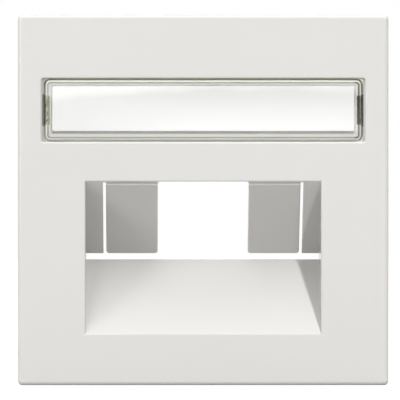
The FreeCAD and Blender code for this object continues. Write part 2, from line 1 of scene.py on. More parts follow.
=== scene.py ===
"""Finishes the keystone faceplate: white plate, clear label window, paper card and a plain stage.

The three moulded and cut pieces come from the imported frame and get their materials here. The
marks of the ejector pins on the rear of the face are made here.
"""

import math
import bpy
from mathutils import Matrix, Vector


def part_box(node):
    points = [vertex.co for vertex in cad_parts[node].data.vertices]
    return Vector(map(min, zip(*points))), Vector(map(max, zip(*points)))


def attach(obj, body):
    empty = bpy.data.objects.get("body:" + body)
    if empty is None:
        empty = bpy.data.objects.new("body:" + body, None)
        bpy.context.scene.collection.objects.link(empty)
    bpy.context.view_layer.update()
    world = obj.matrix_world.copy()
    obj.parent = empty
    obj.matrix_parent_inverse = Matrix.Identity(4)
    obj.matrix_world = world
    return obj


bl_info = {
    "name": "Keystone Faceplate Finish",
    "version": (1, 0, 0),
    "blender": (4, 5, 0),
    "location": "3D View > Sidebar > Faceplate",
    "description": "Plastics, card, ejector marks and stage for the packed faceplate",
    "category": "Object",
}

import bpy
from mathutils import Vector

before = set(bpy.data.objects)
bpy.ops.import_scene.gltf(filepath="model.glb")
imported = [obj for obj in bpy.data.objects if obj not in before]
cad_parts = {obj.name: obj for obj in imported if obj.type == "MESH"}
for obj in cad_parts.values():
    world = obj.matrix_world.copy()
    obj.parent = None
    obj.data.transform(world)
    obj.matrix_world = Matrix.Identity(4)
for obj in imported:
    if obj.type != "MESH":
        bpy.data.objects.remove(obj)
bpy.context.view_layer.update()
PLATE_LOW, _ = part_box("faceplate")
WINDOW_LOW, WINDOW_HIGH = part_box("label_window")
CARD_LOW, CARD_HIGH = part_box("label_card")
MM = 0.001
# a Mix node keeps a pair of inputs and an output for each type of value that it can mix
FIRST_NUMBER, SECOND_NUMBER, MIXED_NUMBER = 2, 3, 0
FIRST_COLOUR, SECOND_COLOUR, MIXED_COLOUR = 6, 7, 2
# where the pin marks are on the right half of the face's rear, as x and z in mm: clear of the
# ribs, the clip arms and the label tray
MARK_SPOTS = ((22.4, -22.5), (6.0, -23.2), (7.5, 23.0), (22.0, 23.0), (22.3, -14.0))


def linear(code):
    """The linear RGB of an sRGB hex colour."""
    parts = [int(code[i : i + 2], 16) / 255 for i in (0, 2, 4)]
    return tuple(p / 12.92 if p <= 0.04045 else ((p + 0.055) / 1.055) ** 2.4 for p in parts)


def rgba(colour):
    """A colour property as the four numbers that a socket takes."""
    return (*colour[:3], 1.0)


def add_node(tree, kind, inputs=None, **settings):
    """Adds a node. Inputs are numbers, or sockets to link from; settings are the node's own."""
    node = tree.nodes.new(kind)
    for name, value in settings.items():
        setattr(node, name, value)
    for name, value in (inputs or {}).items():
        if isinstance(value, bpy.types.NodeSocket):
            tree.links.new(value, node.inputs[name])
        else:
            node.inputs[name].default_value = value
    return node


def backdrop_rays(tree, *others):
    """1 for the rays that show the white backdrop: seen, off a gloss, through glass or others."""
    rays = add_node(tree, "ShaderNodeLightPath")
    shown = rays.outputs["Is Camera Ray"]
    for kind in (rays.outputs["Is Glossy Ray"], rays.outputs["Is Transmission Ray"], *others):
        shown = add_node(
            tree, "ShaderNodeMath", {0: shown, 1: kind}, operation="MAXIMUM"
        ).outputs[0]
    return shown


def new_material(name):
    """An empty node material and its tree."""
    material = bpy.data.materials.new(name)
    material.use_nodes = True
    material.node_tree.nodes.clear()
    return material, material.node_tree


def finish_node(name, material):
    """Gives a CAD node its material."""
    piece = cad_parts[name]
    for place in piece.material_slots:
        place.material = material


def link_piece(name, mesh, material):
    """An object at the origin for a finished mesh."""
    piece = bpy.data.objects.new(name, mesh)
    mesh.materials.clear()
    mesh.materials.append(material)
    bpy.context.scene.collection.objects.link(piece)
    return piece


class FACEPLATE_PG_plate(bpy.types.PropertyGroup):
    colour: bpy.props.FloatVectorProperty(
        name="Plastic colour",
        description="Body colour of the plate's thermoplastic",
        subtype="COLOR",
        default=linear("DFDDDA"),
        min=0.0,
        max=1.0,
    )
    roughness: bpy.props.FloatProperty(
        name="Roughness",
        description="Roughness of the polished mould's surface",
        subtype="FACTOR",
        default=0.14,
        min=0.0,
        max=1.0,
    )
    bounce: bpy.props.FloatProperty(
        name="Bounce",
        description="How much of its colour the plate shows to light from its own other walls",
        subtype="FACTOR",
        default=0.5,
        min=0.0,
        max=1.0,
    )
    ripple: bpy.props.FloatProperty(
        name="Ripple spacing",
        description="Distance between the soft ripples that the mould leaves in a gloss face",
        subtype="DISTANCE",
        unit="LENGTH",
        default=2.4 * MM,
    )
    grain: bpy.props.FloatProperty(
        name="Grain spacing",
        description="Distance between the fine marks of the polish, drawn coarser than real",
        subtype="DISTANCE",
        unit="LENGTH",
        default=0.35 * MM,
    )
    # painted shade: how far the plate is painted with the gaps' dark colour at the window's ends,
    # beside its legs and under the card's lower edge, where little light gets in
    end_shade: bpy.props.FloatProperty(
        name="End gap shade",
        description="How far the plate takes the gap's tint at each end of the window",
        subtype="FACTOR",
        default=0.45,
        min=0.0,
        max=1.0,
    )
    socket_shade: bpy.props.FloatProperty(
        name="Socket shade",
        description="How far the plate takes the gap's tint beside the window's legs",
        subtype="FACTOR",
        default=0.9,
        min=0.0,
        max=1.0,
    )
    foot_shade: bpy.props.FloatProperty(
        name="Card foot shade",
        description="How far the plate takes the gap's tint along the card's lower edge",
        subtype="FACTOR",
        default=0.45,
        min=0.0,
        max=1.0,
    )
    # painted shade: the dark olive painted into those gaps in place of their shade
    painted_gap_shade: bpy.props.FloatVectorProperty(
        name="Gap tint",
        description="Colour of the little light that the window lets into the gap round it",
        subtype="COLOR",
        default=linear("5E5C4C"),
        min=0.0,
        max=1.0,
    )
    # painted light: the pale olive painted on the plate in the gap above the window, for the
    # light that the window tints there
    painted_upper_gap_light: bpy.props.FloatVectorProperty(
        name="Upper gap tint",
        description="Colour of the plate in the gap above the window",
        subtype="COLOR",
        default=linear("DFDCB8"),
        min=0.0,
        max=1.0,
    )


class FACEPLATE_PG_marks(bpy.types.PropertyGroup):
    radius: bpy.props.FloatProperty(
        name="Radius",
        description="Radius of the marks that the mould's ejector pins leave",
        subtype="DISTANCE",
        unit="LENGTH",
        default=1.25 * MM,
    )
    height: bpy.props.FloatProperty(
        name="Height",
        description="How far a mark stands out of the face's rear",
        subtype="DISTANCE",
        unit="LENGTH",
        default=0.1 * MM,
    )
    face_wall: bpy.props.FloatProperty(
        name="Face wall",
        description="Thickness of the front face, whose rear carries the marks",
        subtype="DISTANCE",
        unit="LENGTH",
        default=1.8 * MM,
    )


class FACEPLATE_PG_window(bpy.types.PropertyGroup):
    tint: bpy.props.FloatVectorProperty(
        name="Tint",
        description="Colour of a long way through the clear plastic",
        subtype="COLOR",
        default=linear("DDE0C8"),
        min=0.0,
        max=1.0,
    )
    density: bpy.props.FloatProperty(
        name="Tint density",
        description="How fast the tint grows with the way through the plastic, per metre",
        default=110.0,
        min=0.0,
    )
    roughness: bpy.props.FloatProperty(
        name="Roughness",
        description="Roughness of the clear plastic",
        subtype="FACTOR",
        default=0.01,
        min=0.0,
        max=1.0,
    )
    bead: bpy.props.FloatProperty(
        name="Bead",
        description="How far the beads of the legs stand out past the window's ends",
        subtype="DISTANCE",
        unit="LENGTH",
        default=0.38 * MM,
    )
    corner: bpy.props.FloatProperty(
        name="Corner radius",
        description="Radius of the window's corners",
        subtype="DISTANCE",
        unit="LENGTH",
        default=0.75 * MM,
    )
    # painted light: the rim and the legs get a matt skin, lit by the lamps, in place of the light
    # that the clear plastic carries; the rim wall sets its width, and the haze how matt it is
    rim: bpy.props.FloatProperty(
        name="Rim wall",
        description="Thickness of the rim wall, which is matt from the mould",
        subtype="DISTANCE",
        unit="LENGTH",
        default=0.32 * MM,
    )
    haze: bpy.props.FloatProperty(
        name="Rim haze",
        description="How matt the rim is, from clear to white",
        subtype="FACTOR",
        default=0.75,
        min=0.0,
        max=1.0,
    )
    leg_depth: bpy.props.FloatProperty(
        name="Leg depth",
        description="How far in from the window's end the light falls into a leg's socket",
        subtype="DISTANCE",
        unit="LENGTH",
        default=0.62 * MM,
    )
    leg_width: bpy.props.FloatProperty(
        name="Leg width",
        description="Width of a leg",
        subtype="DISTANCE",
        unit="LENGTH",
        default=4.2 * MM,
    )
    # painted light: the legs take the colour of the dim olive light that comes back up them
    painted_leg_light: bpy.props.FloatVectorProperty(
        name="Leg tint",
        description="Colour of the light that comes back up the legs",
        subtype="COLOR",
        default=linear("B2B39C"),
        min=0.0,
        max=1.0,
    )
    speckle: bpy.props.FloatProperty(
        name="Leg speckle",
        description="How dark the speckles in the legs' cloud are",
        subtype="FACTOR",
        default=0.7,
        min=0.0,
        max=1.0,
    )
    # painted shade: the dark line along the rim's inner edge, and its strength
    painted_line_shade: bpy.props.FloatVectorProperty(
        name="Line tint",
        description="Colour of the dark line along the rim's inner edge",
        subtype="COLOR",
        default=linear("96968A"),
        min=0.0,
        max=1.0,
    )
    line_rest: bpy.props.FloatProperty(
        name="Line strength",
        description="Strength of that line away from the right end",
        subtype="FACTOR",
        default=0.4,
        min=0.0,
        max=1.0,
    )
    # painted shade on the right leg's line, where its socket is; the speckles vary at random
    root_shade_and_speckle: bpy.props.FloatVectorProperty(
        name="Root tint",
        description="Colour of that line on the right leg, and of the speckles in both legs",
        subtype="COLOR",
        default=linear("3A3A2C"),
        min=0.0,
        max=1.0,
    )


class FACEPLATE_PG_card(bpy.types.PropertyGroup):
    colour: bpy.props.FloatVectorProperty(
        name="Card colour",
        description="Colour of the blank paper card",
        subtype="COLOR",
        default=linear("FEFEFF"),
        min=0.0,
        max=1.0,
    )


class FACEPLATE_PG_stage(bpy.types.PropertyGroup):
    key: bpy.props.FloatProperty(
        name="Key light",
        description="Power of the tall lamp to the right of the camera",
        subtype="POWER",
        unit="POWER",
        default=12.9,
        min=0.0,
    )
    fill: bpy.props.FloatProperty(
        name="Fill light",
        description="Power of the soft lamp low at the left",
        subtype="POWER",
        unit="POWER",
        default=5.5,
        min=0.0,
    )
    top: bpy.props.FloatProperty(
        name="Top light",
        description="Power of the soft lamp over the plate",
        subtype="POWER",
        unit="POWER",
        default=7.7,
        min=0.0,
    )
    side: bpy.props.FloatProperty(
        name="Side light",
        description="Power of the small lamp high up at the left of the camera",
        subtype="POWER",
        unit="POWER",
        default=3.5,
        min=0.0,
    )
    ambient: bpy.props.FloatProperty(
        name="Room light",
        description="Strength of the light that comes from all round in front of the plate",
        default=0.03,
        min=0.0,
    )
    glow: bpy.props.FloatProperty(
        name="Reflector glow",
        description="Strength of the arched reflector that shows in the window's pane",
        default=1.7,
        min=0.0,
    )
    distance: bpy.props.FloatProperty(
        name="Camera distance",
        description="Distance of the camera from the plate's front face",
        subtype="DISTANCE",
        unit="LENGTH",
        default=0.9,
    )
    field: bpy.props.FloatProperty(
        name="Field width",
        description="Width that the camera takes in at the front face",
        subtype="DISTANCE",
        unit="LENGTH",
        default=59.34 * MM,
    )


class FACEPLATE_OT_plate(bpy.types.Operator):
    """Give the plate its gloss white thermoplastic"""

    bl_idname = "faceplate.plate"
    bl_label = "Finish Plate"

    def execute(self, context):
        values = context.scene.faceplate_plate
        # ABS, injection moulded in a polished mould: opaque white, a clear gloss, and a face
        # that is very slightly rippled where the skin set against the steel
        cloud_spacing = 20 * MM
        ripple_height, grain_height = 0.003 * MM, 0.0006 * MM
        material, tree = new_material("moulded_white_abs")
        place = add_node(tree, "ShaderNodeTexCoord")
        cloud = add_node(
            tree,
            "ShaderNodeTexNoise",
            {"Vector": place.outputs["Object"], "Scale": 1 / cloud_spacing, "Detail": 2.0},
        )
        darker, lighter, held_down = (
            rgba([part * share for part in values.colour])
            for share in (0.985, 1.015, values.bounce)
        )
        tone = add_node(
            tree,
            "ShaderNodeMix",
            {"Factor": cloud.outputs["Fac"], FIRST_COLOUR: darker, SECOND_COLOUR: lighter},
            data_type="RGBA",
        )
        # the light that one wall of the recess throws on the next is held down, so that the slope
        # under the opening keeps its depth; then painted shade in the gaps round the window and
        # under the card, and painted olive light in the gap above the window
        rays = add_node(tree, "ShaderNodeLightPath")
        painted_shade_share, painted_light_share = self.add_gap_shade(tree, place, values)
        for share, colour in (
            (rays.outputs["Is Diffuse Ray"], held_down),
            (painted_light_share, rgba(values.painted_upper_gap_light)),
            (painted_shade_share, rgba(values.painted_gap_shade)),
        ):
            tone = add_node(
                tree,
                "ShaderNodeMix",
                {
                    "Factor": share,
                    FIRST_COLOUR: tone.outputs[MIXED_COLOUR],
                    SECOND_COLOUR: colour,
                },
                data_type="RGBA",
            )
        ripple = add_node(
            tree,
            "ShaderNodeTexNoise",
            {"Vector": place.outputs["Object"], "Scale": 1 / values.ripple, "Detail": 1.0},
        )
        grain = add_node(
            tree,
            "ShaderNodeTexNoise",
            {"Vector": place.outputs["Object"], "Scale": 1 / values.grain, "Detail": 3.0},
        )
        gloss = add_node(
            tree,
            "ShaderNodeMapRange",
            {
                "Value": grain.outputs["Fac"],
                "From Min": 0.3,
                "From Max": 0.7,
                "To Min": values.roughness - 0.02,
                "To Max": values.roughness + 0.03,
            },
        )
        wave = add_node(
            tree,
            "ShaderNodeBump",
            {"Height": ripple.outputs["Fac"], "Strength": 1.0, "Distance": ripple_height},
        )
        skin = add_node(
            tree,
            "ShaderNodeBump",
            {
                "Height": grain.outputs["Fac"],
                "Strength": 1.0,
                "Distance": grain_height,
                "Normal": wave.outputs["Normal"],
            },
        )
        plastic = add_node(
            tree,
            "ShaderNodeBsdfPrincipled",
            {
                "Base Color": tone.outputs[MIXED_COLOUR],
                "Roughness": gloss.outputs["Result"],
                "IOR": 1.53,
                "Normal": skin.outputs["Normal"],
            },
        )
        out = add_node(tree, "ShaderNodeOutputMaterial")
        tree.links.new(plastic.outputs["BSDF"], out.inputs["Surface"])
        finish_node("faceplate", material)
        return {"FINISHED"}

    def add_gap_shade(self, tree, place, values):
        """How far the plastic takes the painted gap shade, and where the painted olive light
        goes.

        The gap round the window is too narrow for much light, least of all beside the legs,
        where it opens into their sockets, and so is the one under the card's lower edge: that
        shade is painted into the plastic's colour, and so is the olive light above the window.
        """
        middle = Vector((0.0, PLATE_LOW.y, (WINDOW_LOW.z + WINDOW_HIGH.z) / 2))
        half = (WINDOW_HIGH - WINDOW_LOW) / 2
        end = half.x - 0.15 * MM
        under_card = CARD_LOW.z - 0.3 * MM - middle.z
        centred = add_node(
            tree,
            "ShaderNodeVectorMath",
            {0: place.outputs["Object"], 1: middle},
            operation="SUBTRACT",
        )
        at = add_node(tree, "ShaderNodeSeparateXYZ", {0: centred.outputs["Vector"]})
        # each is 1 up to its reach on either side of its middle, and 0 elsewhere
        bands = {
            "left gap": ("X", -end, 0.28 * MM),
            "right ledge": ("X", end + 0.14 * MM, 0.14 * MM),
            "right gap": ("X", end - 0.06 * MM, 0.21 * MM),
            "leg level": ("Z", 0.0, 2.35 * MM),
            "under card": ("Z", under_card, 0.17 * MM),
            "along card": ("X", 0.0, CARD_HIGH.x),
            "above window": ("Z", half.z + 0.12 * MM, 0.16 * MM),
            "along window": ("X", 0.0, end),
            "field depth": ("Y", 1.7 * MM, 1.5 * MM),
            "field level": ("Z", 0.0, half.z + 0.4 * MM),
        }
        part = {
            name: add_node(
                tree,
                "ShaderNodeMath",
                {0: at.outputs[axis], 1: centre, 2: reach},
                operation="COMPARE",
            ).outputs[0]
            for name, (axis, centre, reach) in bands.items()
        }
        # what overlaps is a product, and what adds up is a maximum
        for name, first, second, operation in (
            ("ends", "left gap", "right ledge", "MAXIMUM"),
            ("shaded ends", "ends", values.end_shade, "MULTIPLY"),
            ("beside legs", "left gap", "right gap", "MAXIMUM"),
            ("sockets", "beside legs", "leg level", "MULTIPLY"),
            ("shaded sockets", "sockets", values.socket_shade, "MULTIPLY"),
            ("card foot", "under card", "along card", "MULTIPLY"),
            ("shaded foot", "card foot", values.foot_shade, "MULTIPLY"),
            ("window head", "above window", "along window", "MULTIPLY"),
            ("field", "field depth", "field level", "MULTIPLY"),
            ("end shades", "shaded ends", "shaded sockets", "MAXIMUM"),
            ("all shades", "end shades", "shaded foot", "MAXIMUM"),
            ("shades in field", "all shades", "field", "MULTIPLY"),
            ("head in field", "window head", "field", "MULTIPLY"),
        ):
            part[name] = add_node(
                tree,
                "ShaderNodeMath",
                {0: part[first], 1: part.get(second, second)},
                operation=operation,
            ).outputs[0]
        return part["shades in field"], part["head in field"]


class FACEPLATE_OT_marks(bpy.types.Operator):
    """Put the round marks of the ejector pins on the rear of the face"""

    bl_idname = "faceplate.marks"
    bl_label = "Add Ejector Marks"

    def execute(self, context):
        values = context.scene.faceplate_marks
        rear = PLATE_LOW.y + values.face_wall
        mesh = bpy.data.meshes.new("ejector_marks")
        mesh.from_pydata(
            [(side * x * MM, rear, z * MM) for x, z in MARK_SPOTS for side in (-1, 1)], [], []
        )
        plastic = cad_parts["faceplate"].material_slots[0].material
        piece = link_piece("ejector_marks", mesh, plastic)
        tree = self.grow_tree(plastic)
        modifier = piece.modifiers.new("marks", "NODES")
        modifier.node_group = tree
        sizes = {"Radius": values.radius, "Height": values.height}
        for socket in tree.interface.items_tree:
            if socket.name in sizes:
                modifier[socket.identifier] = sizes[socket.name]
        grown = bpy.data.meshes.new_from_object(
            piece.evaluated_get(context.evaluated_depsgraph_get())
        )
        piece.modifiers.remove(modifier)
        piece.data = grown
        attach(piece, "root")
        return {"FINISHED"}

    def grow_tree(self, material):
        """A tree that stands a flat disc on each point of the mesh, half of it sunk."""
        tree = bpy.data.node_groups.new("ejector_marks", "GeometryNodeTree")
        for name, side, kind in (
            ("Geometry", "INPUT", "NodeSocketGeometry"),
            ("Radius", "INPUT", "NodeSocketFloat"),
            ("Height", "INPUT", "NodeSocketFloat"),
            ("Geometry", "OUTPUT", "NodeSocketGeometry"),
        ):
            tree.interface.new_socket(name, in_out=side, socket_type=kind)
        given = add_node(tree, "NodeGroupInput")
        both_sides = add_node(
            tree,
            "ShaderNodeMath",
            {0: given.outputs["Height"], 1: 2.0},
            operation="MULTIPLY",
        )
        disc = add_node(
            tree,
            "GeometryNodeMeshCylinder",
            {
                "Vertices": 48,
                "Radius": given.outputs["Radius"],
                "Depth": both_sides.outputs[0],
            },
        )
        stood = add_node(
            tree,
            "GeometryNodeInstanceOnPoints",
            {
                "Points": given.outputs["Geometry"],
                "Instance": disc.outputs["Mesh"],
                "Rotation": (math.pi / 2, 0.0, 0.0),
            },
        )
        real = add_node(
            tree, "GeometryNodeRealizeInstances", {"Geometry": stood.outputs["Instances"]}
        )
        painted = add_node(
            tree,
            "GeometryNodeSetMaterial",
            {"Geometry": real.outputs["Geometry"], "Material": material},
        )
        out = add_node(tree, "NodeGroupOutput")
        tree.links.new(painted.outputs["Geometry"], out.inputs["Geometry"])
        return tree


class FACEPLATE_OT_window(bpy.types.Operator):
    """Give the label window its clear plastic"""

    bl_idname = "faceplate.window"
    bl_label = "Finish Window"

    def execute(self, context):
        values = context.scene.faceplate_window
        skin_depth = 0.35 * MM
        leg_play, rim_blur = 0.06 * MM, 0.03 * MM
        line_place, line_reach = 0.34 * MM, 0.15 * MM
        line_starts, line_full = 1.6 * MM, 0.7 * MM
        cloud_spacing, speckle_spacing = 0.7 * MM, 0.4 * MM
        flow_spacing, flow_height = 6 * MM, 0.001 * MM
        # what the left end, the right end, the cloud and the rim add to the legs' haze
        left_haze, right_haze, cloud_haze, rim_haze = 0.55, 0.05, 0.4, 0.25
        ior, face_passes = 1.585, 0.95
        # polycarbonate, injection moulded clear: nearly colourless across the pane. Painted
        # light:
        # a matt white skin over the rim, lit by the lamps, stands for the light that the clear
        # rim carries to its front, and a cloudy olive on the legs for the dim light that comes up
        # them
        material, tree = new_material("moulded_clear_polycarbonate")
        place = add_node(tree, "ShaderNodeTexCoord")
        middle = (WINDOW_LOW + WINDOW_HIGH) / 2
        reach = (WINDOW_HIGH - WINDOW_LOW) / 2 - Vector((values.bead, 0.0, 0.0))
        inner = Vector((reach.x - values.corner, 0.0, reach.z - values.corner))
        centred = add_node(
            tree,
            "ShaderNodeVectorMath",
            {0: place.outputs["Object"], 1: middle},
            operation="SUBTRACT",
        )
        depth = add_node(tree, "ShaderNodeSeparateXYZ", {0: centred.outputs["Vector"]})
        upright = add_node(
            tree,
            "ShaderNodeVectorMath",
            {0: centred.outputs["Vector"], 1: (1.0, 0.0, 1.0)},
            operation="MULTIPLY",
        )
        sides = add_node(
            tree, "ShaderNodeVectorMath", {0: upright.outputs["Vector"]}, operation="ABSOLUTE"
        )
        out_by = add_node(
            tree,
            "ShaderNodeVectorMath",
            {0: sides.outputs["Vector"], 1: inner},
            operation="SUBTRACT",
        )
        # distance from the window's outline, which has rounded corners: below 0 inside it
        edge = add_node(tree, "ShaderNodeSeparateXYZ", {0: out_by.outputs["Vector"]})
        nearest = add_node(
            tree,
            "ShaderNodeMath",
            {0: edge.outputs["X"], 1: edge.outputs["Z"]},
            operation="MAXIMUM",
        )
        straight = add_node(
            tree, "ShaderNodeMath", {0: nearest.outputs[0], 1: 0.0}, operation="MINIMUM"
        )
        in_corner = add_node(
            tree,
            "ShaderNodeVectorMath",
            {0: out_by.outputs["Vector"], 1: (0.0, 0.0, 0.0)},
            operation="MAXIMUM",
        )
        arc = add_node(
            tree, "ShaderNodeVectorMath", {0: in_corner.outputs["Vector"]}, operation="LENGTH"
        )
        outline = add_node(
            tree,
            "ShaderNodeMath",
            {0: straight.outputs[0], 1: arc.outputs["Value"]},
            operation="ADD",
        )
        # 1 over the rim wall, 0 over the pane
        rim = add_node(
            tree,
            "ShaderNodeMapRange",
            {
                "Value": outline.outputs[0],
                "From Min": values.corner - values.rim - rim_blur,
                "From Max": values.corner - values.rim + rim_blur,
            },
        )
        # only the front skin is matt: the plastic behind it is clear
        front = add_node(
            tree,
            "ShaderNodeMath",
            {0: depth.outputs["Y"], 1: skin_depth - reach.y},
            operation="LESS_THAN",
        )
        # 1 over the legs and their sockets, 0 elsewhere
        leg_side = add_node(
            tree,
            "ShaderNodeMath",
            {0: edge.outputs["X"], 1: values.corner - values.leg_depth},
            operation="GREATER_THAN",
        )
        leg_level = add_node(
            tree,
            "ShaderNodeMath",
            {0: edge.outputs["Z"], 1: values.leg_width / 2 + leg_play - inner.z},
            operation="LESS_THAN",
        )
        leg = add_node(
            tree,
            "ShaderNodeMath",
            {0: leg_side.outputs[0], 1: leg_level.outputs[0]},
            operation="MULTIPLY",
        )
        cloud = add_node(
            tree,
            "ShaderNodeTexNoise",
            {"Vector": place.outputs["Object"], "Scale": 1 / cloud_spacing, "Detail": 2.0},
        )
        # the painted cloud in the legs is thicker at the left end
        from_gate = add_node(
            tree,
            "ShaderNodeMapRange",
            {
                "Value": depth.outputs["X"],
                "From Min": -reach.x,
                "From Max": reach.x,
                "To Min": values.haze * left_haze,
                "To Max": values.haze * right_haze,
            },
        )
        cloudy = add_node(
            tree,
            "ShaderNodeMath",
            {0: cloud.outputs["Fac"], 1: cloud_haze, 2: from_gate.outputs["Result"]},
            operation="MULTIPLY_ADD",
        )
        leg_part = add_node(
            tree,
            "ShaderNodeMath",
            {0: rim.outputs["Result"], 1: rim_haze, 2: cloudy.outputs[0]},
            operation="MULTIPLY_ADD",
        )
        matt_part = add_node(
            tree,
            "ShaderNodeMath",
            {0: rim.outputs["Result"], 1: values.haze},
            operation="MULTIPLY",
        )
        amount = add_node(
            tree,
            "ShaderNodeMix",
            {
                "Factor": leg.outputs[0],
                FIRST_NUMBER: matt_part.outputs[0],
                SECOND_NUMBER: leg_part.outputs[0],
            },
            data_type="FLOAT",
        )
        haze = add_node(
            tree,
            "ShaderNodeMath",
            {0: amount.outputs[MIXED_NUMBER], 1: front.outputs[0]},
            operation="MULTIPLY",
        )
        flow = add_node(
            tree,
            "ShaderNodeTexNoise",
            {"Vector": place.outputs["Object"], "Scale": 1 / flow_spacing, "Detail": 1.0},
        )
        swirl = add_node(
            tree,
            "ShaderNodeBump",
            {"Height": flow.outputs["Fac"], "Strength": 1.0, "Distance": flow_height},
        )
        # painted shade: a dark line along the rim's inner edge, stronger at the right end and
        # darkest on the leg there, where the shade of its socket is painted
        inner_edge = add_node(
            tree,
            "ShaderNodeMath",
            {0: outline.outputs[0], 1: values.corner - line_place, 2: line_reach},
            operation="COMPARE",
        )
        to_right = add_node(
            tree,
            "ShaderNodeMapRange",
            {
                "Value": depth.outputs["X"],
                "From Min": reach.x - line_starts,
                "From Max": reach.x - line_full,
            },
        )
        all_round = add_node(
            tree,
            "ShaderNodeMath",
            {0: to_right.outputs["Result"], 1: values.line_rest},
            operation="MAXIMUM",
        )

        def with_line(strength, base, dark):
            """A colour with the painted dark line over it."""
            line = add_node(
                tree,
                "ShaderNodeMath",
                {0: inner_edge.outputs[0], 1: strength},
                operation="MULTIPLY",
            )
            return add_node(
                tree,
                "ShaderNodeMix",
                {
                    "Factor": line.outputs[0],
                    FIRST_COLOUR: rgba(base),
                    SECOND_COLOUR: rgba(dark),
                },
                data_type="RGBA",
            ).outputs[MIXED_COLOUR]

        # the cloud in the legs is speckled, from pale to dark
        speckles = add_node(
            tree,
            "ShaderNodeTexNoise",
            {
                "Vector": place.outputs["Object"],
                "Scale": 1 / speckle_spacing,
                "Detail": 1.0,
            },
        )
        spots = add_node(
            tree,
            "ShaderNodeMapRange",
            {
                "Value": speckles.outputs["Fac"],
                "From Min": 0.5,
                "From Max": 0.62,
                "To Max": values.speckle,
            },
        )
        lined_leg = with_line(to_right.outputs["Result"], values.painted_leg_light, values.root_shade_and_speckle)
        leg_tone = add_node(
            tree,
            "ShaderNodeMix",
            {
                "Factor": spots.outputs["Result"],
                FIRST_COLOUR: lined_leg,
                SECOND_COLOUR: rgba(values.root_shade_and_speckle),
            },
            data_type="RGBA",
        )
        # off the legs, the clear plastic and the matt skin that stands for the rim's light have a
        # colour of their own
        tone, skin_tone = (
            add_node(
                tree,
                "ShaderNodeMix",
                {
                    "Factor": leg.outputs[0],
                    FIRST_COLOUR: with_line(all_round.outputs[0], base, values.painted_line_shade),
                    SECOND_COLOUR: leg_tone.outputs[MIXED_COLOUR],
                },
                data_type="RGBA",
            ).outputs[MIXED_COLOUR]
            for base in (linear("FFFFFF"), linear("FBFBF2"))
        )
        plastic = add_node(
            tree,
            "ShaderNodeBsdfPrincipled",
            {
                "Base Color": tone,
                "Roughness": values.roughness,
                "IOR": ior,
                "Transmission Weight": 1.0,
                "Normal": swirl.outputs["Normal"],
            },
        )
        matt = add_node(
            tree,
            "ShaderNodeBsdfPrincipled",
            {"Base Color": skin_tone, "Roughness": 0.3, "IOR": ior},
        )
        skin = add_node(
            tree,
            "ShaderNodeMixShader",
            {0: haze.outputs[0], 1: plastic.outputs["BSDF"], 2: matt.outputs["BSDF"]},
        )
        tint = add_node(
            tree,
            "ShaderNodeVolumeAbsorption",
            {"Color": rgba(values.tint), "Density": values.density},
        )
        # rays that look for the lamps go straight through, less what each face turns back
        through = add_node(
            tree, "ShaderNodeBsdfTransparent", {"Color": rgba([face_passes] * 3)}
        )
        rays = add_node(tree, "ShaderNodeLightPath")
        lamp_way = add_node(
            tree,
            "ShaderNodeMath",
            {0: rays.outputs["Is Shadow Ray"], 1: rays.outputs["Is Diffuse Ray"]},
            operation="MAXIMUM",
        )
        body = add_node(
            tree,
            "ShaderNodeMixShader",
            {0: lamp_way.outputs[0], 1: skin.outputs["Shader"], 2: through.outputs["BSDF"]},
        )
        out = add_node(tree, "ShaderNodeOutputMaterial")
        tree.links.new(body.outputs["Shader"], out.inputs["Surface"])
        tree.links.new(tint.outputs["Volume"], out.inputs["Volume"])
        finish_node("label_window", material)
        return {"FINISHED"}


class FACEPLATE_OT_card(bpy.types.Operator):
    """Give the label card its uncoated paper"""

    bl_idname = "faceplate.card"
    bl_label = "Finish Card"

    def execute(self, context):
        values = context.scene.faceplate_card
        fibre_spacing, fibre_height = 0.6 * MM, 0.01 * MM
        # uncoated card, cut from a sheet: matt white with short fibres in its face, drawn
        # coarser than real ones
        material, tree = new_material("uncoated_white_card")
        place = add_node(tree, "ShaderNodeTexCoord")
        along = add_node(
            tree,
            "ShaderNodeMapping",
            {"Vector": place.outputs["Object"], "Scale": (1.0, 1.0, 3.0)},
        )
        fibres = add_node(
            tree,
            "ShaderNodeTexNoise",
            {"Vector": along.outputs["Vector"], "Scale": 1 / fibre_spacing, "Detail": 4.0},
        )
        tone = add_node(
            tree,
            "ShaderNodeMix",
            {
                "Factor": fibres.outputs["Fac"],
                FIRST_COLOUR: rgba([part * 0.98 for part in values.colour]),
                SECOND_COLOUR: rgba(values.colour),
            },
            data_type="RGBA",
        )
        press = add_node(
            tree,
            "ShaderNodeBump",
            {"Height": fibres.outputs["Fac"], "Strength": 0.5, "Distance": fibre_height},
        )
        paper = add_node(
            tree,
            "ShaderNodeBsdfPrincipled",
            {
                "Base Color": tone.outputs[MIXED_COLOUR],
                "Roughness": 0.85,
                "IOR": 1.47,
                "Normal": press.outputs["Normal"],
            },
        )
        out = add_node(tree, "ShaderNodeOutputMaterial")
        tree.links.new(paper.outputs["BSDF"], out.inputs["Surface"])
        finish_node("label_card", material)
        return {"FINISHED"}


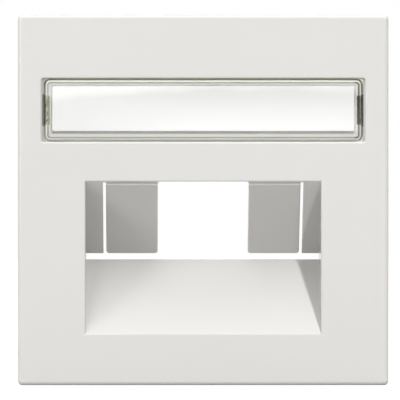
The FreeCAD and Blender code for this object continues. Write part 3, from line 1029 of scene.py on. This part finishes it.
class FACEPLATE_OT_stage(bpy.types.Operator):
    """Set the floor, the room light, the lamps and the camera"""

    bl_idname = "faceplate.stage"
    bl_label = "Set Stage"

    def execute(self, context):
        values = context.scene.faceplate_stage
        self.lay_floor()
        self.light_room(values)
        self.hang_lamps(values)
        self.stand_reflector(values)
        self.place_camera(context, values)
        context.scene.view_settings.view_transform = "Standard"
        return {"FINISHED"}

    def lay_floor(self):
        """A wide board just under the plate."""
        far = 2.0
        z = PLATE_LOW.z - 0.02 * MM
        mesh = bpy.data.meshes.new("floor")
        mesh.from_pydata(
            [(-far, -far, z), (far, -far, z), (far, far, z), (-far, far, z)],
            [],
            [(0, 1, 2, 3)],
        )
        # painted board: matt, mid grey to the lamps, and white with the object's shadow on it
        # where it is seen
        material, tree = new_material("painted_board")
        board = add_node(tree, "ShaderNodeBsdfDiffuse", {"Color": rgba(linear("A0A0A0"))})
        seen = add_node(tree, "ShaderNodeBsdfDiffuse", {"Color": rgba(linear("8C8C8C"))})
        light = add_node(tree, "ShaderNodeEmission", {"Strength": 0.9})
        bright = add_node(
            tree,
            "ShaderNodeAddShader",
            {0: seen.outputs["BSDF"], 1: light.outputs["Emission"]},
        )
        paint = add_node(
            tree,
            "ShaderNodeMixShader",
            {
                0: backdrop_rays(tree),
                1: board.outputs["BSDF"],
                2: bright.outputs["Shader"],
            },
        )
        out = add_node(tree, "ShaderNodeOutputMaterial")
        tree.links.new(paint.outputs["Shader"], out.inputs["Surface"])
        link_piece("floor", mesh, material)

    def light_room(self, values):
        """Dim light in front of the plate, and the white backdrop behind it and in view."""
        world = bpy.data.worlds.new("room")
        bpy.context.scene.world = world
        world.use_nodes = True
        tree = world.node_tree
        tree.nodes.clear()
        place = add_node(tree, "ShaderNodeTexCoord")
        way = add_node(tree, "ShaderNodeSeparateXYZ", {0: place.outputs["Generated"]})
        behind = add_node(
            tree,
            "ShaderNodeMath",
            {0: way.outputs["Y"], 1: 0.0},
            operation="GREATER_THAN",
        )
        soft, white = (
            add_node(
                tree,
                "ShaderNodeBackground",
                {"Color": (1.0, 1.0, 1.0, 1.0), "Strength": strength},
            )
            for strength in (values.ambient, 1.0)
        )
        both = add_node(
            tree,
            "ShaderNodeMixShader",
            {
                0: backdrop_rays(tree, behind.outputs[0]),
                1: soft.outputs[0],
                2: white.outputs[0],
            },
        )
        out = add_node(tree, "ShaderNodeOutputWorld")
        tree.links.new(both.outputs[0], out.inputs["Surface"])

    def hang(self, name, place, power, size, size_y):
        """A soft lamp of the given width and height, turned to the plate."""
        lamp = bpy.data.lights.new(name, "AREA")
        lamp.shape = "RECTANGLE"
        lamp.energy, lamp.size, lamp.size_y = power, size, size_y
        holder = bpy.data.objects.new(name, lamp)
        holder.location = place
        holder.rotation_euler = (-Vector(place)).to_track_quat("-Z", "Y").to_euler()
        holder.visible_camera = False
        bpy.context.scene.collection.objects.link(holder)

    def hang_lamps(self, values):
        """The four lamps, with their places and sizes in metres."""
        self.hang("key", (0.39, -1.2, 0.82), values.key, 0.07, 1.15)
        self.hang("fill", (-1.13, -0.95, 0.26), values.fill, 0.55, 0.55)
        self.hang("top", (0.0, -0.51, 1.41), values.top, 0.8, 0.8)
        self.hang("side", (-0.42, -1.16, 0.86), values.side, 0.5, 0.5)

    def stand_reflector(self, values):
        """A lit board behind the camera that only gloss and clear surfaces show.

        Its upper part is bright down to an arch. Below the arch it starts dim, and brightens
        to its foot, more so at the right.
        """
        back = PLATE_LOW.y - 2 * values.distance
        left, right, low, high = -0.062, 0.094, 0.0305, 0.0560
        # the arch: where its crown is, how fast it falls to the sides, and where its edge
        # begins and ends
        crown, curve, edge_low, edge_high = 0.036, 0.6, 0.0485, 0.0515
        foot_top, foot_low = 0.0465, 0.033
        foot_left, foot_right = -0.042, 0.006
        # levels of the upper part, of the lower part at the left, and added to both
        upper_level, left_level, rest_level = 1.25, 0.28, 0.35
        mesh = bpy.data.meshes.new("reflector")
        mesh.from_pydata(
            [(left, back, low), (right, back, low), (right, back, high), (left, back, high)],
            [],
            [(3, 2, 1, 0)],
        )
        # opal acrylic board, lit from behind: an even glow
        material, tree = new_material("lit_opal_acrylic")
        place = add_node(tree, "ShaderNodeTexCoord")
        at = add_node(tree, "ShaderNodeSeparateXYZ", {0: place.outputs["Object"]})
        off_crown = add_node(
            tree, "ShaderNodeMath", {0: at.outputs["X"], 1: crown}, operation="SUBTRACT"
        )
        fall = add_node(
            tree,
            "ShaderNodeMath",
            {0: off_crown.outputs[0], 1: off_crown.outputs[0]},
            operation="MULTIPLY",
        )
        over_arch = add_node(
            tree,
            "ShaderNodeMath",
            {0: fall.outputs[0], 1: curve, 2: at.outputs["Z"]},
            operation="MULTIPLY_ADD",
        )
        upper = add_node(
            tree,
            "ShaderNodeMapRange",
            {"Value": over_arch.outputs[0], "From Min": edge_low, "From Max": edge_high},
        )
        foot = add_node(
            tree,
            "ShaderNodeMapRange",
            {"Value": at.outputs["Z"], "From Min": foot_top, "From Max": foot_low},
        )
        to_right = add_node(
            tree,
            "ShaderNodeMapRange",
            {"Value": at.outputs["X"], "From Min": foot_left, "From Max": foot_right},
        )
        lower = add_node(
            tree,
            "ShaderNodeMix",
            {
                "Factor": to_right.outputs["Result"],
                FIRST_NUMBER: left_level,
                SECOND_NUMBER: foot.outputs["Result"],
            },
            data_type="FLOAT",
        )
        level = add_node(
            tree,
            "ShaderNodeMix",
            {
                "Factor": upper.outputs["Result"],
                FIRST_NUMBER: lower.outputs[MIXED_NUMBER],
                SECOND_NUMBER: upper_level,
            },
            data_type="FLOAT",
        )
        strength = add_node(
            tree,
            "ShaderNodeMath",
            {
                0: level.outputs[MIXED_NUMBER],
                1: values.glow,
                2: values.glow * rest_level,
            },
            operation="MULTIPLY_ADD",
        )
        light = add_node(tree, "ShaderNodeEmission", {"Strength": strength.outputs[0]})
        out = add_node(tree, "ShaderNodeOutputMaterial")
        tree.links.new(light.outputs["Emission"], out.inputs["Surface"])
        board = link_piece("reflector", mesh, material)
        board.visible_camera = False
        board.visible_diffuse = False

    def place_camera(self, context, values):
        """A camera in front of the plate, a little to the left, and aimed at its middle."""
        front = PLATE_LOW.y
        stand, aim = -8 * MM, -0.49 * MM
        camera = bpy.data.cameras.new("camera")
        camera.sensor_width = 36.0
        camera.lens = camera.sensor_width * values.distance / values.field
        camera.clip_start, camera.clip_end = 0.01, 10.0
        holder = bpy.data.objects.new("camera", camera)
        holder.location = (stand, front - values.distance, 0.0)
        target = Vector((aim, front, 0.0))
        holder.rotation_euler = (target - holder.location).to_track_quat("-Z", "Y").to_euler()
        context.scene.collection.objects.link(holder)
        context.scene.camera = holder


class FACEPLATE_PT_finish(bpy.types.Panel):
    """Sizes, colours and steps of the faceplate's finish"""

    bl_label = "Faceplate"
    bl_idname = "FACEPLATE_PT_finish"
    bl_space_type = "VIEW_3D"
    bl_region_type = "UI"
    bl_category = "Faceplate"

    def draw(self, context):
        for group, step in STEPS.items():
            box = self.layout.box()
            values = getattr(context.scene, group)
            for name in values.__annotations__:
                box.prop(values, name)
            box.operator(step)


# each group of values and the operator that uses it, in the order of the work
STEPS = {
    "faceplate_plate": "faceplate.plate",
    "faceplate_marks": "faceplate.marks",
    "faceplate_window": "faceplate.window",
    "faceplate_card": "faceplate.card",
    "faceplate_stage": "faceplate.stage",
}
GROUPS = {
    "faceplate_plate": FACEPLATE_PG_plate,
    "faceplate_marks": FACEPLATE_PG_marks,
    "faceplate_window": FACEPLATE_PG_window,
    "faceplate_card": FACEPLATE_PG_card,
    "faceplate_stage": FACEPLATE_PG_stage,
}
CLASSES = (
    *GROUPS.values(),
    FACEPLATE_OT_plate,
    FACEPLATE_OT_marks,
    FACEPLATE_OT_window,
    FACEPLATE_OT_card,
    FACEPLATE_OT_stage,
    FACEPLATE_PT_finish,
)


def register():
    for kind in CLASSES:
        bpy.utils.register_class(kind)
    for name, group in GROUPS.items():
        setattr(bpy.types.Scene, name, bpy.props.PointerProperty(type=group))


def unregister():
    for name in GROUPS:
        delattr(bpy.types.Scene, name)
    for kind in reversed(CLASSES):
        bpy.utils.unregister_class(kind)


def main():
    register()
    for step in STEPS.values():
        group, name = step.split(".")
        getattr(getattr(bpy.ops, group), name)()


if __name__ == "__main__":
    main()
